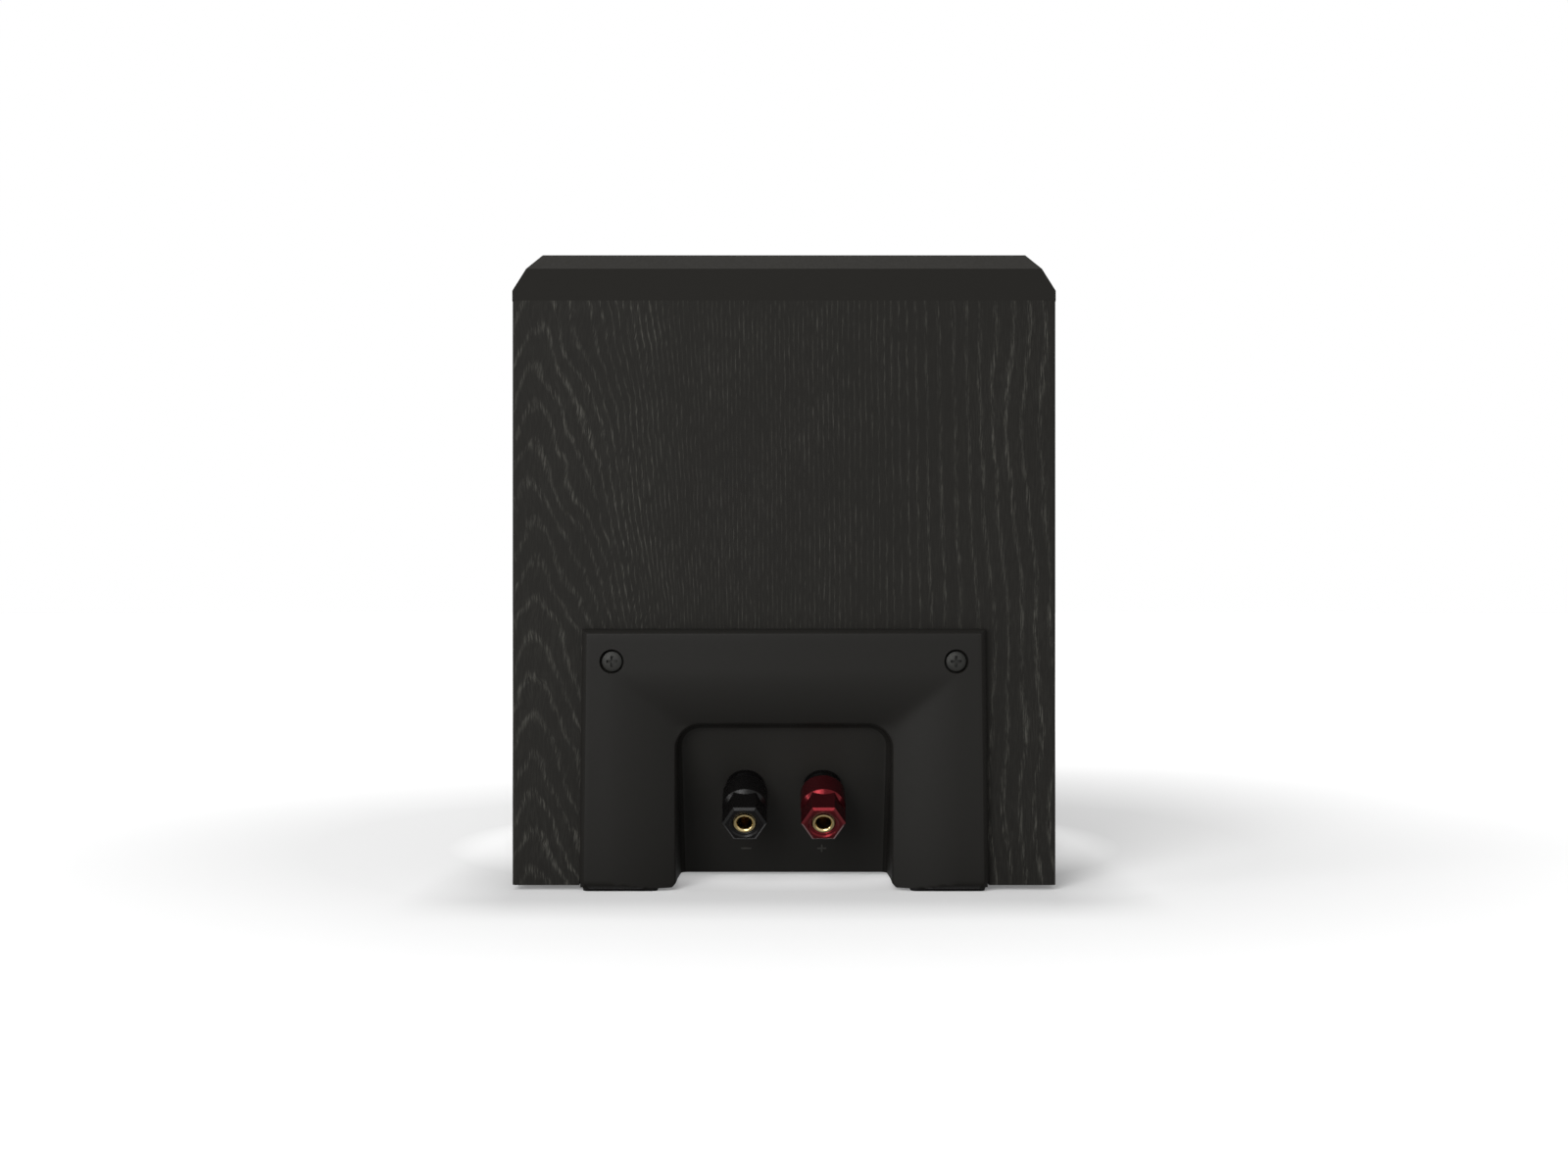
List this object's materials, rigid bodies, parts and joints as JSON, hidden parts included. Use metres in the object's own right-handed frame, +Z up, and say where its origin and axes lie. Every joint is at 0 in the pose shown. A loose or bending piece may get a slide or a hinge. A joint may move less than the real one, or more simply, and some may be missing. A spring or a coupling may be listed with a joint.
{
  "type": "bookshelf speaker",
  "caption": "Two-way wedge loudspeaker: wooden cabinet, sloping baffle with cone driver and horn, recessed binding posts in a moulded foot at the back.",
  "frame": {"origin": "on the ground, under the middle of the bounding box", "axes": "+Z up, +Y towards the rear panel with the binding posts, +X towards the black post"},
  "size_m": [0.1474, 0.22, 0.173],
  "materials": {
    "vinyl_ash": "wood-grain vinyl film over fibreboard, satin",
    "baffle_coat": "satin black coat",
    "moulded_abs": "moulded ABS, fine spark-eroded texture",
    "soft_trim": "soft-touch rubber",
    "foot_rubber": "matt rubber",
    "gasket_foam": "closed-cell foam",
    "wadding": "polyester wadding",
    "black_screw": "black-oxide steel",
    "gilt_brass": "gilt brass, turned",
    "black_plastic": "moulded polycarbonate",
    "red_plastic": "moulded red polycarbonate",
    "plated_steel": "zinc-plated steel",
    "tinned_brass": "tinned brass",
    "basket_steel": "black powder coat",
    "surround_rubber": "butyl rubber",
    "copper_cone": "copper-tinted spun metal",
    "coil_paper": "heat-proof paper",
    "coil_wire": "enamelled copper wire",
    "spider_cloth": "resin-dipped cotton",
    "ferrite": "sintered ferrite",
    "fibre_board": "phenolic paper board",
    "horn_plastic": "moulded ABS, satin",
    "dome_metal": "aluminium foil dome",
    "board_laminate": "printed circuit laminate",
    "copper_winding": "enamelled copper winding",
    "capacitor_sleeve": "shrink sleeve",
    "cement": "cement resistor body",
    "nylon": "nylon",
    "wire_sleeve": "PVC insulation"
  },
  "bodies": {
    "root": {"left_side_panel": "vinyl_ash", "right_side_panel": "vinyl_ash", "bottom_panel": "vinyl_ash", "rear_panel": "vinyl_ash", "front_panel": "vinyl_ash", "baffle": "baffle_coat", "wadding_pads": "wadding", "front_feet": "foot_rubber", "terminal_housing": "moulded_abs", "terminal_gasket": "gasket_foam", "rear_foot_pads": "foot_rubber", "rear_housing_screws": "black_screw", "under_housing_screws": "black_screw", "black_post_stud": "gilt_brass", "red_post_stud": "gilt_brass", "black_post_collar": "black_plastic", "red_post_collar": "black_plastic", "post_inner_washers": "plated_steel", "post_inner_nuts": "gilt_brass", "solder_tabs": "tinned_brass", "woofer_trim_ring": "soft_trim", "woofer_basket": "basket_steel", "woofer_gasket": "gasket_foam", "woofer_surround": "surround_rubber", "woofer_spider": "spider_cloth", "woofer_top_plate": "plated_steel", "woofer_magnet": "ferrite", "woofer_back_plate": "plated_steel", "woofer_terminal_strip": "fibre_board", "woofer_screws": "black_screw", "tweeter_horn": "horn_plastic", "horn_gasket": "gasket_foam", "tweeter_phase_plug": "horn_plastic", "tweeter_spacer": "horn_plastic", "tweeter_top_plate": "plated_steel", "tweeter_magnet": "ferrite", "tweeter_back_plate": "plated_steel", "tweeter_rear_cap": "horn_plastic", "horn_screws": "black_screw", "tweeter_screws": "plated_steel", "crossover_board": "board_laminate", "crossover_inductors": "copper_winding", "crossover_capacitors": "capacitor_sleeve", "crossover_resistors": "cement", "crossover_standoffs": "nylon", "crossover_screws": "plated_steel", "input_wires": "wire_sleeve", "woofer_wires": "wire_sleeve", "tweeter_wires": "wire_sleeve"},
    "black_washer": {"black_clamp_washer": "gilt_brass"},
    "black_nut": {"black_post_nut": "black_plastic", "black_nut_insert": "gilt_brass"},
    "red_washer": {"red_clamp_washer": "gilt_brass"},
    "red_nut": {"red_post_nut": "red_plastic", "red_nut_insert": "gilt_brass"},
    "cone": {"woofer_cone": "copper_cone", "woofer_dust_cap": "copper_cone", "woofer_coil_former": "coil_paper", "woofer_voice_coil": "coil_wire"},
    "dome": {"tweeter_dome": "dome_metal"}
  },
  "joints": [
    {"name": "black_washer_slide", "type": "slide", "parent": "root", "child": "black_washer", "axis": [0, 0.866, -0.5], "range_m": [0, 0.005]},
    {"name": "black_nut_turn", "type": "hinge", "parent": "black_washer", "child": "black_nut", "pos_m": [0.0107, 0.10016, 0.022], "axis": [0, 0.866, -0.5], "range_deg": [0, 1800]},
    {"name": "red_washer_slide", "type": "slide", "parent": "root", "child": "red_washer", "axis": [0, 0.866, -0.5], "range_m": [0, 0.005]},
    {"name": "red_nut_turn", "type": "hinge", "parent": "red_washer", "child": "red_nut", "pos_m": [-0.0107, 0.10016, 0.022], "axis": [0, 0.866, -0.5], "range_deg": [0, 1800]},
    {"name": "cone_travel", "type": "slide", "parent": "root", "child": "cone", "axis": [0, -0.342, 0.9397], "range_m": [-0.003, 0.003], "stiffness_N_per_m": 1100, "deforming": ["woofer_surround", "woofer_spider"]},
    {"name": "dome_travel", "type": "slide", "parent": "root", "child": "dome", "axis": [0, -0.342, 0.9397], "range_m": [-0.0002, 0.0002], "stiffness_N_per_m": 400}
  ],
  "couplings": [
    {"joint": "black_nut_turn", "follows": "black_washer_slide", "rad_per_m": 6283},
    {"joint": "red_nut_turn", "follows": "red_washer_slide", "rad_per_m": 6283}
  ]
}
